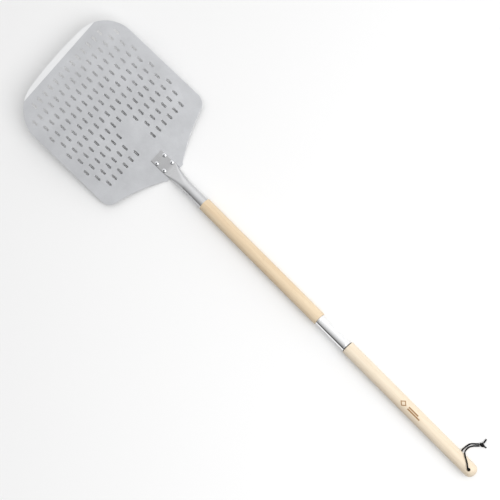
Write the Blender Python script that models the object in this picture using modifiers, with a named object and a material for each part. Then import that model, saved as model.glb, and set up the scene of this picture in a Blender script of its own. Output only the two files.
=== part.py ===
"""A long-handled perforated pizza peel, lying at rest on a floor at z = 0.

Lengths are in metres. +Z is up, the blade's front edge faces -Y and the handle runs along +Y.
Pieces are placed from the blade's tail, which touches the floor, and the blade tips up from
there. At the end everything moves back so that the origin is under the middle of the peel.
"""
from math import atan2, cos, pi, radians, sin, sqrt

import bmesh
import bpy
from mathutils import Matrix, Vector

GAP = 0.0003  # left between pieces that touch

# Blade
BLADE_WIDTH = 0.305
BLADE_THICKNESS = 0.0015
BLADE_TILT = radians(8.7)  # between the blade and the handle
FRONT_RADIUS = 0.905
FRONT_CORNER = 0.080
SIDE_LENGTH = 0.1986
REAR_CORNER = 0.025
REAR_CORNER_TURN = radians(74.5)
SHOULDER_RADIUS = 0.412
SHOULDER_TURN = radians(16.0)
TAIL_FLARE_RADIUS = 0.008
TAIL_FLARE_TURN = radians(28.5)
TAIL_CORNER = 0.003
BEVEL_DEPTH = 0.014  # from the front edge back to the inner line of the ground bevel
BEVEL_DROP = 0.0009

# Slots
SLOT_LENGTH = 0.015
SLOT_WIDTH = 0.005
SLOT_PITCH = 0.0174
ROW_PITCH = 0.0255
FIRST_ROW = 0.0375  # behind the front edge
ROW_REACH = (6.0, 7.5, 7.0, 7.5, 7.0, 7.5, 7.0, 7.5, 7.0, 6.5)  # outermost slot, in pitches
BARE_ROWS = {7: 0.5, 8: 1.0, 9: 0.5}  # rows with no slots this near the middle, in pitches

# Rivets
RIVET_AHEAD = 0.0308  # centre of the four, ahead of the tail
RIVET_ACROSS = 0.024
RIVET_ALONG = 0.022
RIVET_HEAD_RADIUS = 0.0045
RIVET_HEAD_HEIGHT = 0.0015
RIVET_SHANK_RADIUS = 0.0024
RIVET_BORE_RADIUS = 0.0014
RIVET_HOLE_RADIUS = RIVET_SHANK_RADIUS + GAP
RIVET_BULB_RADIUS = 0.0036
RIVET_BULB_HEIGHT = 0.0016
MANDREL_RADIUS = RIVET_BORE_RADIUS - 0.0002

# Neck tube
TUBE_RADIUS = 0.01125
TUBE_WALL = 0.0012
FLAT_THICKNESS = 0.0027
FLAT_AHEAD = 0.0540  # front end of the flattened part, ahead of the tail
BEND_START = -0.012
BEND_END = 0.044
BEND_PULL = 0.016
BEND_EASE = 1.4  # above 1, it rounds out fast at first and slower towards the tube
OPENING_SHARE = 0.12  # roundness at which the bore begins
TUBE_END = 0.0967
RING_POINTS = 48

# Handle
HANDLE_HEIGHT = 0.0174  # of the handle's axis above the floor
WOOD_RADIUS = 0.014
WOOD_EDGE = 0.0008
UPPER_START = 0.0970
UPPER_LENGTH = 0.3380
TENON_RADIUS = 0.0097
TENON_LENGTH = 0.032
SLEEVE_START = UPPER_START + UPPER_LENGTH + GAP
SLEEVE_LENGTH = 0.0780
SLEEVE_OUTER = 0.0114
SLEEVE_INNER = 0.0100
PLUG_LENGTH = 0.030
STUD_RADIUS = 0.0050
STUD_LENGTH = 0.0160
WASHER_RADIUS = 0.0125
WASHER_THICKNESS = 0.0012
WASHER_START = SLEEVE_START + SLEEVE_LENGTH + GAP
LOWER_START = WASHER_START + WASHER_THICKNESS + GAP
LOWER_LENGTH = 0.3480
LOWER_ROUNDING = 0.012
INSERT_RADIUS = 0.0075
INSERT_LENGTH = 0.018
INSERT_SINK = 0.0005
CORD_HOLE_RADIUS = 0.0035
CORD_HOLE_Y = LOWER_START + LOWER_LENGTH - 0.0156

# Small screws on the underside
SCREW_HEAD_RADIUS = 0.0030
SCREW_HEAD_HEIGHT = 0.0016
SCREW_SHANK_RADIUS = 0.0013
SCREW_SHANK_LENGTH = 0.0072
SCREW_SLOT = 0.0007
SCREW_SPOTS = (
    ("neck_screw", TUBE_END - 0.016, TUBE_RADIUS),
    ("sleeve_screw", SLEEVE_START + 0.016, SLEEVE_OUTER),
    ("plug_screw", SLEEVE_START + SLEEVE_LENGTH - 0.014, SLEEVE_OUTER),
)

# Cord
CORD_RADIUS = 0.0015
CORD_FLOOR = 0.00155  # centreline height where it lies on the floor
KNOT_CENTRE = (-0.0492, 0.8330, 0.0043)
KNOT_RADII = (0.0046, 0.0042, 0.0040)
STRAND_A = (
    (0.0000, 0.8475, 0.0178),
    (0.0000, 0.8475, 0.0250),
    (0.0000, 0.8472, 0.0300),
    (-0.0014, 0.8448, 0.0338),
    (-0.0045, 0.8408, 0.0338),
    (-0.0080, 0.8360, 0.0318),
    (-0.0133, 0.8258, 0.0272),
    (-0.0164, 0.8206, 0.0200),
    (-0.0182, 0.8190, 0.0120),
    (-0.0222, 0.8184, 0.0050),
    (-0.0260, 0.8187, 0.0022),
    (-0.0308, 0.8202, CORD_FLOOR),
    (-0.0368, 0.8243, 0.0018),
    (-0.0441, 0.8311, 0.0028),
)
STRAND_B = (
    (0.0006, 0.8481, 0.0173),
    (0.0010, 0.8487, 0.0120),
    (0.0012, 0.8491, 0.0065),
    (0.0010, 0.8488, 0.0038),
    (0.0004, 0.8478, 0.0022),
    (-0.0004, 0.8461, CORD_FLOOR),
    (-0.0022, 0.8400, CORD_FLOOR),
    (-0.0048, 0.8270, CORD_FLOOR),
    (-0.0092, 0.8162, CORD_FLOOR),
    (-0.0150, 0.8135, CORD_FLOOR),
    (-0.0202, 0.8134, CORD_FLOOR),
    (-0.0310, 0.8151, CORD_FLOOR),
    (-0.0366, 0.8181, CORD_FLOOR),
    (-0.0425, 0.8242, 0.0018),
    (-0.0465, 0.8283, 0.0028),
)
TAIL_A = ((-0.0542, 0.8326, 0.0036), (-0.0575, 0.8324, 0.0026), (-0.0631, 0.8314, CORD_FLOOR))
TAIL_B = ((-0.0497, 0.8376, 0.0034), (-0.0502, 0.8395, 0.0024), (-0.0508, 0.8425, CORD_FLOOR))

COLOURS = {
    "brushed_aluminium": ((0.52, 0.53, 0.55, 1.0), 0.42, 1.0),
    "neck_aluminium": ((0.66, 0.67, 0.69, 1.0), 0.35, 1.0),
    "rivet_aluminium": ((0.62, 0.63, 0.65, 1.0), 0.30, 1.0),
    "mandrel_steel": ((0.20, 0.20, 0.21, 1.0), 0.45, 1.0),
    "upper_wood": ((0.78, 0.68, 0.54, 1.0), 0.60, 0.0),
    "lower_wood": ((0.84, 0.77, 0.66, 1.0), 0.60, 0.0),
    "polished_metal": ((0.80, 0.81, 0.82, 1.0), 0.15, 1.0),
    "screw_steel": ((0.45, 0.45, 0.46, 1.0), 0.35, 1.0),
    "insert_brass": ((0.72, 0.55, 0.28, 1.0), 0.35, 1.0),
    "washer_fibre": ((0.06, 0.06, 0.06, 1.0), 0.80, 0.0),
    "black_cord": ((0.02, 0.02, 0.022, 1.0), 0.85, 0.0),
}

materials = {}


def clear_scene():
    for obj in list(bpy.data.objects):
        bpy.data.objects.remove(obj, do_unlink=True)


def new_collection(name):
    collection = bpy.data.collections.new(name)
    bpy.context.scene.collection.children.link(collection)
    return collection


def paint(obj, material_name, node):
    """Give obj its own copy of a named finish."""
    colour, roughness, metallic = COLOURS[material_name]
    material = bpy.data.materials.new(node)
    material.use_nodes = True
    shader = material.node_tree.nodes["Principled BSDF"]
    shader.inputs["Base Color"].default_value = colour
    shader.inputs["Roughness"].default_value = roughness
    shader.inputs["Metallic"].default_value = metallic
    obj.data.materials.append(material)


def add(name, data, finish, parent=None):
    obj = bpy.data.objects.new(name, data)
    peel.objects.link(obj)
    obj.parent = parent
    paint(obj, finish, name)
    return obj


def add_empty(name, location, parent=None):
    empty = bpy.data.objects.new(name, None)
    empty.empty_display_size = 0.03
    empty.location = location
    empty.parent = parent
    peel.objects.link(empty)
    return empty


def turned(name, profile, finish, steps=40, closed=False, parent=None):
    """A solid turned about local Z from (radius, height) points, top to bottom."""
    mesh = bpy.data.meshes.new(name)
    edges = [(i, i + 1) for i in range(len(profile) - 1)]
    if closed:
        edges.append((len(profile) - 1, 0))
    mesh.from_pydata([(r, 0.0, z) for r, z in profile], edges, [])
    obj = add(name, mesh, finish, parent)
    screw = obj.modifiers.new("turn", "SCREW")
    screw.axis = "Z"
    screw.steps = steps
    screw.render_steps = steps
    screw.use_merge_vertices = True
    screw.merge_threshold = 0.00001
    return obj


def along_handle(obj, y, parent):
    """Put a turned solid on the handle's axis, its local Z running along world Y."""
    obj.parent = parent
    obj.rotation_euler = (-pi / 2, 0.0, 0.0)
    base = parent.location if parent else Vector((0.0, 0.0, 0.0))
    if parent and parent.parent:
        base = base + parent.parent.location
    obj.location = Vector((0.0, y, HANDLE_HEIGHT)) - base


def arc(centre, radius, start, end, count):
    """Points from angle start to angle end about centre."""
    angles = [start + (end - start) * i / count for i in range(count + 1)]
    return [(centre[0] + radius * cos(a), centre[1] + radius * sin(a)) for a in angles]


class Pen:
    """Draws an outline in straight lines and arcs that leave in the direction they arrived."""

    def __init__(self, x, y, heading):
        self.points = [(x, y)]
        self.heading = heading

    def line(self, length):
        x, y = self.points[-1]
        self.points.append((x + length * cos(self.heading), y + length * sin(self.heading)))

    def bend(self, radius, turn, count):
        """Turn left for a positive angle, right for a negative one."""
        for _ in range(count):
            step = turn / count
            self.heading += step / 2
            self.line(2 * radius * sin(abs(step) / 2))
            self.heading += step / 2


def blade_half_outline():
    """The +X half of the outline from the middle of the front edge to the tail, tail at y = 0."""
    corner_x = BLADE_WIDTH / 2 - FRONT_CORNER
    front_turn = atan2(corner_x, sqrt((FRONT_RADIUS - FRONT_CORNER) ** 2 - corner_x**2))
    pen = Pen(0.0, 0.0, 0.0)
    pen.bend(FRONT_RADIUS, front_turn, 8)
    pen.bend(FRONT_CORNER, pi / 2 - front_turn, 14)
    pen.line(SIDE_LENGTH)
    pen.bend(REAR_CORNER, REAR_CORNER_TURN, 9)
    pen.bend(SHOULDER_RADIUS, -SHOULDER_TURN, 8)
    pen.bend(TAIL_FLARE_RADIUS, -TAIL_FLARE_TURN, 4)
    pen.bend(TAIL_CORNER, pi - pen.heading, 5)
    tail = pen.points[-1][1]
    return [(x, y - tail) for x, y in pen.points]


def slot_outline(x, y):
    half = (SLOT_LENGTH - SLOT_WIDTH) / 2
    radius = SLOT_WIDTH / 2
    return arc((x, y + half), radius, 0.0, pi, 4) + arc((x, y - half), radius, pi, 2 * pi, 4)


def slot_centres(front_y):
    """Staggered rows: every second row sits half a pitch to the side."""
    centres = []
    for row, reach in enumerate(ROW_REACH):
        y = front_y + FIRST_ROW + row * ROW_PITCH
        steps = int(2 * reach) + 1
        for i in range(steps):
            place = i - reach
            if abs(place) <= BARE_ROWS.get(row, -1.0):
                continue
            centres.append((place * SLOT_PITCH, y))
    return centres


def rivet_centres():
    return [
        (across * RIVET_ACROSS / 2, -RIVET_AHEAD + along * RIVET_ALONG / 2)
        for along in (-1, 1)
        for across in (-1, 1)
    ]


def closed_spline(curve, points):
    spline = curve.splines.new("POLY")
    spline.points.add(len(points) - 1)
    for point, (x, y) in zip(spline.points, points):
        point.co = (x, y, 0.0, 1.0)
    spline.use_cyclic_u = True


def mesh_from_curve(curve, name):
    """A welded mesh of a curve, and the curve itself removed."""
    holder = bpy.data.objects.new(name + "_curve", curve)
    peel.objects.link(holder)
    bpy.context.view_layer.update()
    evaluated = holder.evaluated_get(bpy.context.evaluated_depsgraph_get())
    mesh = bpy.data.meshes.new_from_object(evaluated)
    mesh.materials.clear()
    bpy.data.objects.remove(holder, do_unlink=True)
    work = bmesh.new()
    work.from_mesh(mesh)
    bmesh.ops.remove_doubles(work, verts=work.verts, dist=0.000001)
    work.to_mesh(mesh)
    work.free()
    mesh.name = name
    return mesh


def cutter_object(name, mesh, parent=None):
    obj = bpy.data.objects.new(name, mesh)
    cutters.objects.link(obj)
    obj.parent = parent
    obj.hide_render = True
    obj.display_type = "WIRE"
    return obj


def subtract(obj, cutter):
    boolean = obj.modifiers.new("cut_" + cutter.name, "BOOLEAN")
    boolean.operation = "DIFFERENCE"
    boolean.solver = "EXACT"
    boolean.object = cutter


def rod_mesh(name, radius, length, spots, segments):
    """Upright rods of one size centred on each spot, as one mesh."""
    work = bmesh.new()
    for spot in spots:
        bmesh.ops.create_cone(
            work,
            cap_ends=True,
            segments=segments,
            radius1=radius,
            radius2=radius,
            depth=length,
            matrix=Matrix.Translation(spot),
        )
    mesh = bpy.data.meshes.new(name)
    work.to_mesh(mesh)
    work.free()
    return mesh


def build_blade(frame):
    half = blade_half_outline()
    mirrored = [(-x, y) for x, y in reversed(half)]
    curve = bpy.data.curves.new("blade", "CURVE")
    curve.dimensions = "2D"
    curve.fill_mode = "BOTH"
    curve.extrude = BLADE_THICKNESS / 2
    closed_spline(curve, half + mirrored[:-1])
    front_y = half[0][1]
    for x, y in slot_centres(front_y):
        closed_spline(curve, slot_outline(x, y))
    for x, y in rivet_centres():
        closed_spline(curve, arc((x, y), RIVET_HOLE_RADIUS, 0.0, 2 * pi * 15 / 16, 15))
    mesh = mesh_from_curve(curve, "blade")
    mesh.transform(Matrix.Translation((0.0, 0.0, BLADE_THICKNESS / 2)))
    blade = add("blade", mesh, "brushed_aluminium", frame)
    subtract(blade, bevel_cutter(front_y, frame))
    return blade


def bevel_cutter(front_y, frame):
    """A block whose sloping underside grinds the front edge thinner."""
    reach = 2 * BEVEL_DEPTH
    height = 0.02
    slope = atan2(BEVEL_DROP, BEVEL_DEPTH)
    work = bmesh.new()
    bmesh.ops.create_cube(work, size=1.0)
    bmesh.ops.scale(work, vec=(BLADE_WIDTH * 1.1, reach, height), verts=work.verts)
    bmesh.ops.translate(work, vec=(0.0, -reach / 2, height / 2), verts=work.verts)
    bmesh.ops.rotate(
        work, cent=(0.0, 0.0, 0.0), matrix=Matrix.Rotation(slope, 3, "X"), verts=work.verts
    )
    mesh = bpy.data.meshes.new("bevel_cutter")
    work.to_mesh(mesh)
    work.free()
    cutter = cutter_object("bevel_cutter", mesh, frame)
    cutter.location = (0.0, front_y + BEVEL_DEPTH, BLADE_THICKNESS)
    return cutter


def pressed(fraction, thickness):
    """A point on the tube pressed to a thickness, its girth kept, by its share of the way round."""
    radius = thickness / 2
    straight = pi * (TUBE_RADIUS - radius)
    run = (fraction % 1.0) * 2 * pi * TUBE_RADIUS
    quarter = pi * radius / 2
    if run < quarter:
        angle = run / radius
        return straight / 2 + radius * cos(angle), radius * sin(angle)
    if run < quarter + straight:
        return straight / 2 - (run - quarter), radius
    if run < 3 * quarter + straight:
        angle = pi / 2 + (run - quarter - straight) / radius
        return -straight / 2 + radius * cos(angle), radius * sin(angle)
    if run < 3 * quarter + 2 * straight:
        return -straight / 2 + (run - 3 * quarter - straight), -radius
    angle = 1.5 * pi + (run - 3 * quarter - 2 * straight) / radius
    return straight / 2 + radius * cos(angle), radius * sin(angle)


def neck_ring(station, inset):
    """World points of one cross-section, drawn in from the outside by inset."""
    (y, z), (along_y, along_z), blend = station
    thickness = FLAT_THICKNESS + (2 * TUBE_RADIUS - FLAT_THICKNESS) * blend
    half_width = pi * (TUBE_RADIUS - thickness / 2) / 2 + thickness / 2
    ring = []
    for i in range(RING_POINTS):
        x, h = pressed(i / RING_POINTS, thickness)
        x *= 1 - inset / half_width
        h = thickness / 2 + h * (1 - 2 * inset / thickness)
        ring.append((x, y - h * along_z, z + h * along_y))
    return ring


def on_blade(y, z):
    """World (y, z) of a point given in the tilted blade's own frame."""
    return y * cos(BLADE_TILT) + z * sin(BLADE_TILT), -y * sin(BLADE_TILT) + z * cos(BLADE_TILT)


def neck_stations():
    """Underside point, direction and roundness of the neck's cross-sections, front to rear."""
    height = BLADE_THICKNESS + GAP
    flat_way = (cos(BLADE_TILT), -sin(BLADE_TILT))
    start = Vector(on_blade(BEND_START, height))
    end = Vector((BEND_END, HANDLE_HEIGHT - TUBE_RADIUS))
    stations = [(on_blade(-FLAT_AHEAD, height), flat_way, 0.0)]
    pull_in = Vector(flat_way) * BEND_PULL * 3
    pull_out = Vector((1.0, 0.0)) * BEND_PULL * 3
    count = 16
    for i in range(count + 1):
        t = i / count
        spot = (2 * t**3 - 3 * t**2 + 1) * start + (t**3 - 2 * t**2 + t) * pull_in
        spot += (3 * t**2 - 2 * t**3) * end + (t**3 - t**2) * pull_out
        way = (6 * t**2 - 6 * t) * start + (3 * t**2 - 4 * t + 1) * pull_in
        way += (6 * t - 6 * t**2) * end + (3 * t**2 - 2 * t) * pull_out
        way.normalize()
        stations.append((tuple(spot), tuple(way), 1 - (1 - t) ** BEND_EASE))
    stations.append(((TUBE_END, HANDLE_HEIGHT - TUBE_RADIUS), (1.0, 0.0), 1.0))
    return stations


def build_neck(frame):
    stations = neck_stations()
    hollow = [station for station in stations if station[2] > OPENING_SHARE]
    rings = [neck_ring(station, 0.0) for station in stations]
    rings += [neck_ring(station, TUBE_WALL) for station in reversed(hollow)]
    work = bmesh.new()
    loops = [[work.verts.new(point) for point in ring] for ring in rings]
    for first, second in zip(loops, loops[1:]):
        for i in range(RING_POINTS):
            j = (i + 1) % RING_POINTS
            work.faces.new((first[i], first[j], second[j], second[i]))
    work.faces.new(loops[0])
    work.faces.new(loops[-1])
    bmesh.ops.recalc_face_normals(work, faces=work.faces)
    mesh = bpy.data.meshes.new("neck_tube")
    work.to_mesh(mesh)
    work.free()
    neck = add("neck_tube", mesh, "neck_aluminium")
    spots = [(x, y, BLADE_THICKNESS) for x, y in rivet_centres()]
    holes = rod_mesh("rivet_hole_cutter", RIVET_HOLE_RADIUS, 0.012, spots, 16)
    subtract(neck, cutter_object("rivet_hole_cutter", holes, frame))
    return neck


def build_rivets(frame):
    top = BLADE_THICKNESS + 2 * GAP + FLAT_THICKNESS
    under = -GAP
    dome = [
        (RIVET_HEAD_RADIUS * sin(a), top + RIVET_HEAD_HEIGHT * cos(a))
        for a in (0.42, 0.75, 1.1, 1.4, pi / 2)
    ]
    bulb = [
        (RIVET_BULB_RADIUS, under),
        (RIVET_BULB_RADIUS, under - RIVET_BULB_HEIGHT * 0.55),
        (RIVET_BULB_RADIUS * 0.7, under - RIVET_BULB_HEIGHT),
    ]
    foot = under - RIVET_BULB_HEIGHT
    crown = dome[0][1]
    profile = [(RIVET_BORE_RADIUS, crown)] + dome
    profile += [(RIVET_SHANK_RADIUS, top), (RIVET_SHANK_RADIUS, under)] + bulb
    profile += [(RIVET_BORE_RADIUS, foot)]
    for i, (x, y) in enumerate(rivet_centres(), 1):
        body = turned(f"rivet_{i}", profile, "rivet_aluminium", 24, True, frame)
        body.location = (x, y, 0.0)
        length = crown - 0.0004 - foot
        pin = rod_mesh(f"rivet_pin_{i}", MANDREL_RADIUS, length, [(0.0, 0.0, 0.0)], 16)
        mandrel = add(f"rivet_pin_{i}", pin, "mandrel_steel", frame)
        mandrel.location = (x, y, foot + length / 2)


def screw_cutter():
    """Clearance rods for the three small screws, as one cutter."""
    spots = [(0.0, y, HANDLE_HEIGHT - TUBE_RADIUS + 0.002) for _, y, _ in SCREW_SPOTS]
    radius = SCREW_SHANK_RADIUS + GAP
    mesh = rod_mesh("screw_hole_cutter", radius, 2 * SCREW_SHANK_LENGTH - 0.002, spots, 16)
    return cutter_object("screw_hole_cutter", mesh)


def build_screws():
    for name, y, outer in SCREW_SPOTS:
        head = SCREW_HEAD_HEIGHT
        profile = [
            (0.0, SCREW_SHANK_LENGTH),
            (SCREW_SHANK_RADIUS * 0.5, SCREW_SHANK_LENGTH),
            (SCREW_SHANK_RADIUS, SCREW_SHANK_LENGTH - 0.0012),
            (SCREW_SHANK_RADIUS, 0.0),
            (SCREW_HEAD_RADIUS, 0.0),
            (SCREW_HEAD_RADIUS, -head * 0.4),
            (SCREW_HEAD_RADIUS * 0.75, -head * 0.9),
            (SCREW_HEAD_RADIUS * 0.4, -head),
            (0.0, -head),
        ]
        screw = turned(name, profile, "screw_steel", 24)
        screw.location = (0.0, y, HANDLE_HEIGHT - outer - GAP)
        work = bmesh.new()
        bmesh.ops.create_cube(work, size=1.0)
        size = (3 * SCREW_HEAD_RADIUS, SCREW_SLOT, head)
        bmesh.ops.scale(work, vec=size, verts=work.verts)
        mesh = bpy.data.meshes.new(name + "_slot")
        work.to_mesh(mesh)
        work.free()
        slot = cutter_object(name + "_slot", mesh)
        slot.location = (0.0, y, HANDLE_HEIGHT - outer - GAP - head)
        subtract(screw, slot)


def build_upper(holes):
    far = UPPER_LENGTH
    profile = [
        (0.0, far + TENON_LENGTH),
        (TENON_RADIUS - WOOD_EDGE, far + TENON_LENGTH),
        (TENON_RADIUS, far + TENON_LENGTH - WOOD_EDGE),
        (TENON_RADIUS, far),
        (WOOD_RADIUS - WOOD_EDGE, far),
        (WOOD_RADIUS, far - WOOD_EDGE),
        (WOOD_RADIUS, WOOD_EDGE),
        (WOOD_RADIUS - WOOD_EDGE, 0.0),
        (TENON_RADIUS, 0.0),
        (TENON_RADIUS, WOOD_EDGE - TENON_LENGTH),
        (TENON_RADIUS - WOOD_EDGE, -TENON_LENGTH),
        (0.0, -TENON_LENGTH),
    ]
    grip = turned("upper_grip", profile, "upper_wood")
    along_handle(grip, UPPER_START, None)
    subtract(grip, holes)


def build_sleeve(holes):
    edge = 0.0003
    profile = [
        (SLEEVE_INNER, SLEEVE_LENGTH),
        (SLEEVE_OUTER - edge, SLEEVE_LENGTH),
        (SLEEVE_OUTER, SLEEVE_LENGTH - edge),
        (SLEEVE_OUTER, edge),
        (SLEEVE_OUTER - edge, 0.0),
        (SLEEVE_INNER, 0.0),
    ]
    sleeve = turned("coupling_sleeve", profile, "polished_metal", 48, True)
    along_handle(sleeve, SLEEVE_START, None)
    subtract(sleeve, holes)


def build_stud(holes):
    edge = 0.0008
    profile = [
        (0.0, STUD_LENGTH),
        (STUD_RADIUS - edge, STUD_LENGTH),
        (STUD_RADIUS, STUD_LENGTH - edge),
        (STUD_RADIUS, 0.0),
        (TENON_RADIUS, 0.0),
        (TENON_RADIUS, -PLUG_LENGTH),
        (0.0, -PLUG_LENGTH),
    ]
    stud = turned("stud_plug", profile, "screw_steel")
    along_handle(stud, SLEEVE_START + SLEEVE_LENGTH, None)
    subtract(stud, holes)


def build_washer(slide):
    bore = STUD_RADIUS + GAP
    profile = [
        (bore, WASHER_THICKNESS),
        (WASHER_RADIUS, WASHER_THICKNESS),
        (WASHER_RADIUS, 0.0),
        (bore, 0.0),
    ]
    washer = turned("joint_washer", profile, "washer_fibre", 40, True)
    along_handle(washer, WASHER_START, slide)


def build_lower(turn):
    bore = INSERT_RADIUS + GAP
    depth = INSERT_LENGTH + INSERT_SINK + GAP
    start = LOWER_LENGTH - LOWER_ROUNDING
    steps = 7
    cap = [
        (WOOD_RADIUS * sin(pi / 2 * i / steps), start + LOWER_ROUNDING * cos(pi / 2 * i / steps))
        for i in range(steps + 1)
    ]
    profile = cap + [
        (WOOD_RADIUS, WOOD_EDGE),
        (WOOD_RADIUS - WOOD_EDGE, 0.0),
        (bore, 0.0),
        (bore, depth),
        (0.0, depth),
    ]
    grip = turned("lower_grip", profile, "lower_wood")
    along_handle(grip, LOWER_START, turn)
    spot = [(0.0, CORD_HOLE_Y, HANDLE_HEIGHT)]
    hole = rod_mesh("cord_hole_cutter", CORD_HOLE_RADIUS, 4 * WOOD_RADIUS, spot, 24)
    subtract(grip, cutter_object("cord_hole_cutter", hole))
    inner = STUD_RADIUS + GAP
    insert_profile = [
        (inner, INSERT_LENGTH),
        (INSERT_RADIUS, INSERT_LENGTH),
        (INSERT_RADIUS, 0.0),
        (inner, 0.0),
    ]
    insert = turned("threaded_insert", insert_profile, "insert_brass", 40, True)
    along_handle(insert, LOWER_START + INSERT_SINK, turn)


def smooth_path(knots, spacing):
    """Points at about an even spacing on a Catmull-Rom curve through the knots."""
    ends = [2 * knots[0] - knots[1]] + knots + [2 * knots[-1] - knots[-2]]
    dense = []
    for a, b, c, d in zip(ends, ends[1:], ends[2:], ends[3:]):
        for i in range(16):
            t = i / 16
            spot = 2 * b + (c - a) * t + (2 * a - 5 * b + 4 * c - d) * t**2
            dense.append((spot + (3 * b - a - 3 * c + d) * t**3) / 2)
    dense.append(knots[-1])
    path = [dense[0]]
    for spot in dense:
        if (spot - path[-1]).length >= spacing:
            path.append(spot)
    path[-1] = dense[-1]
    return path


def build_cord_tube(name, route, turn, offset, spacing):
    curve = bpy.data.curves.new(name, "CURVE")
    curve.dimensions = "3D"
    curve.bevel_depth = CORD_RADIUS
    curve.bevel_resolution = 2
    curve.use_fill_caps = True
    path = smooth_path([Vector(point) for point in route], spacing)
    spline = curve.splines.new("POLY")
    spline.points.add(len(path) - 1)
    for point, spot in zip(spline.points, path):
        point.co = (*spot, 1.0)
    cord = add(name, curve, "black_cord", turn)
    cord.location = -offset
    return cord


def build_cord(turn, offset):
    build_cord_tube("cord_strand_a", STRAND_A, turn, offset, 0.003)
    build_cord_tube("cord_strand_b", STRAND_B, turn, offset, 0.003)
    build_cord_tube("cord_tail_a", TAIL_A, turn, offset, 0.003)
    build_cord_tube("cord_tail_b", TAIL_B, turn, offset, 0.003)
    work = bmesh.new()
    bmesh.ops.create_icosphere(work, subdivisions=3, radius=1.0)
    bmesh.ops.scale(work, vec=KNOT_RADII, verts=work.verts)
    mesh = bpy.data.meshes.new("cord_knot")
    work.to_mesh(mesh)
    work.free()
    knot = add("cord_knot", mesh, "black_cord", turn)
    knot.location = Vector(KNOT_CENTRE) - offset


def build():
    frame = add_empty("blade_frame", (0.0, 0.0, 0.0))
    frame.rotation_euler = (-BLADE_TILT, 0.0, 0.0)
    build_blade(frame)
    neck = build_neck(frame)
    build_rivets(frame)
    holes = screw_cutter()
    subtract(neck, holes)
    build_screws()
    build_upper(holes)
    build_sleeve(holes)
    build_stud(holes)
    joint = Vector((0.0, LOWER_START, HANDLE_HEIGHT))
    slide = add_empty("lower_slide", joint)
    turn = add_empty("lower_turn", (0.0, 0.0, 0.0), slide)
    build_washer(slide)
    build_lower(turn)
    build_cord(turn, joint)
    front = blade_half_outline()[0][1] * cos(BLADE_TILT)
    middle = (front + LOWER_START + LOWER_LENGTH) / 2
    for obj in [*peel.objects, *cutters.objects]:
        if obj.parent is None:
            obj.location.y -= middle


clear_scene()
peel = new_collection("pizza_peel")
cutters = new_collection("cutters")
build()
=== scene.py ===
from math import atan2, cos, pi, radians, sin, sqrt

import bmesh
import bpy
from mathutils import Matrix, Vector


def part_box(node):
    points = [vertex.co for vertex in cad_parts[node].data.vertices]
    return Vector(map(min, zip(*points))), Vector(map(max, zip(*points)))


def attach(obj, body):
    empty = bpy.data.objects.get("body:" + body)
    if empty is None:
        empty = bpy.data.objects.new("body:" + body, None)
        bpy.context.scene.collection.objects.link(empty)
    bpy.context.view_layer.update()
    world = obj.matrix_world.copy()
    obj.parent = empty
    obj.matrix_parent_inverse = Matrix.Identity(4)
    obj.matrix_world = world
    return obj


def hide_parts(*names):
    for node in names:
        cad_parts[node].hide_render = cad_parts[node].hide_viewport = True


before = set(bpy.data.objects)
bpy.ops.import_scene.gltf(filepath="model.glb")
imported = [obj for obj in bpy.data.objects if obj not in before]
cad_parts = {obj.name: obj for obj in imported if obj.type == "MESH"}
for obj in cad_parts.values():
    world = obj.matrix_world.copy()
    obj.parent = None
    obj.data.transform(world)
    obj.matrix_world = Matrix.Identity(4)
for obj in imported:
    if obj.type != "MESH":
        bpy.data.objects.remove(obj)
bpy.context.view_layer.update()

# Driving sizes shared with the CAD, in metres. TAIL_Y is the blade's tail in the row's frame.
GAP = 0.0003
REAR_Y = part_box("lower_grip")[1][1]
TAIL_Y = -0.255632
BLADE_TILT = radians(8.7)
BLADE_WIDTH = 0.305
BLADE_THICKNESS = 0.0015
AXIS_Z = 0.0174
WOOD_RADIUS = 0.014


def tail(y):
    """Row-frame y of a distance behind the blade's tail."""
    return TAIL_Y + y


# ---------------------------------------------------------------- camera
CAMERA_AT = Vector((-0.3647, 0.7848 + TAIL_Y, 2.4954))
CAMERA_AIM = Vector((0.003, 0.230 + TAIL_Y, 0.0))
CAMERA_DOWN = Vector((0.72152, 0.69077, -0.04735))
CAMERA_LENS = 1256.9 / 500 * 36


def add_camera():
    """Stand the camera at CAMERA_AT, looking at CAMERA_AIM with CAMERA_DOWN toward the foot."""
    data = bpy.data.cameras.new("camera")
    data.sensor_width = 36
    data.lens = CAMERA_LENS
    data.clip_start = 0.01
    camera = bpy.data.objects.new("camera", data)
    bpy.context.scene.collection.objects.link(camera)
    ahead = (CAMERA_AIM - CAMERA_AT).normalized()
    right = CAMERA_DOWN.cross(ahead).normalized()
    up = right.cross(ahead).normalized()
    turn = Matrix((right, up, -ahead)).transposed().to_4x4()
    camera.matrix_world = Matrix.Translation(CAMERA_AT) @ turn
    bpy.context.scene.camera = camera


add_camera()


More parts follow.
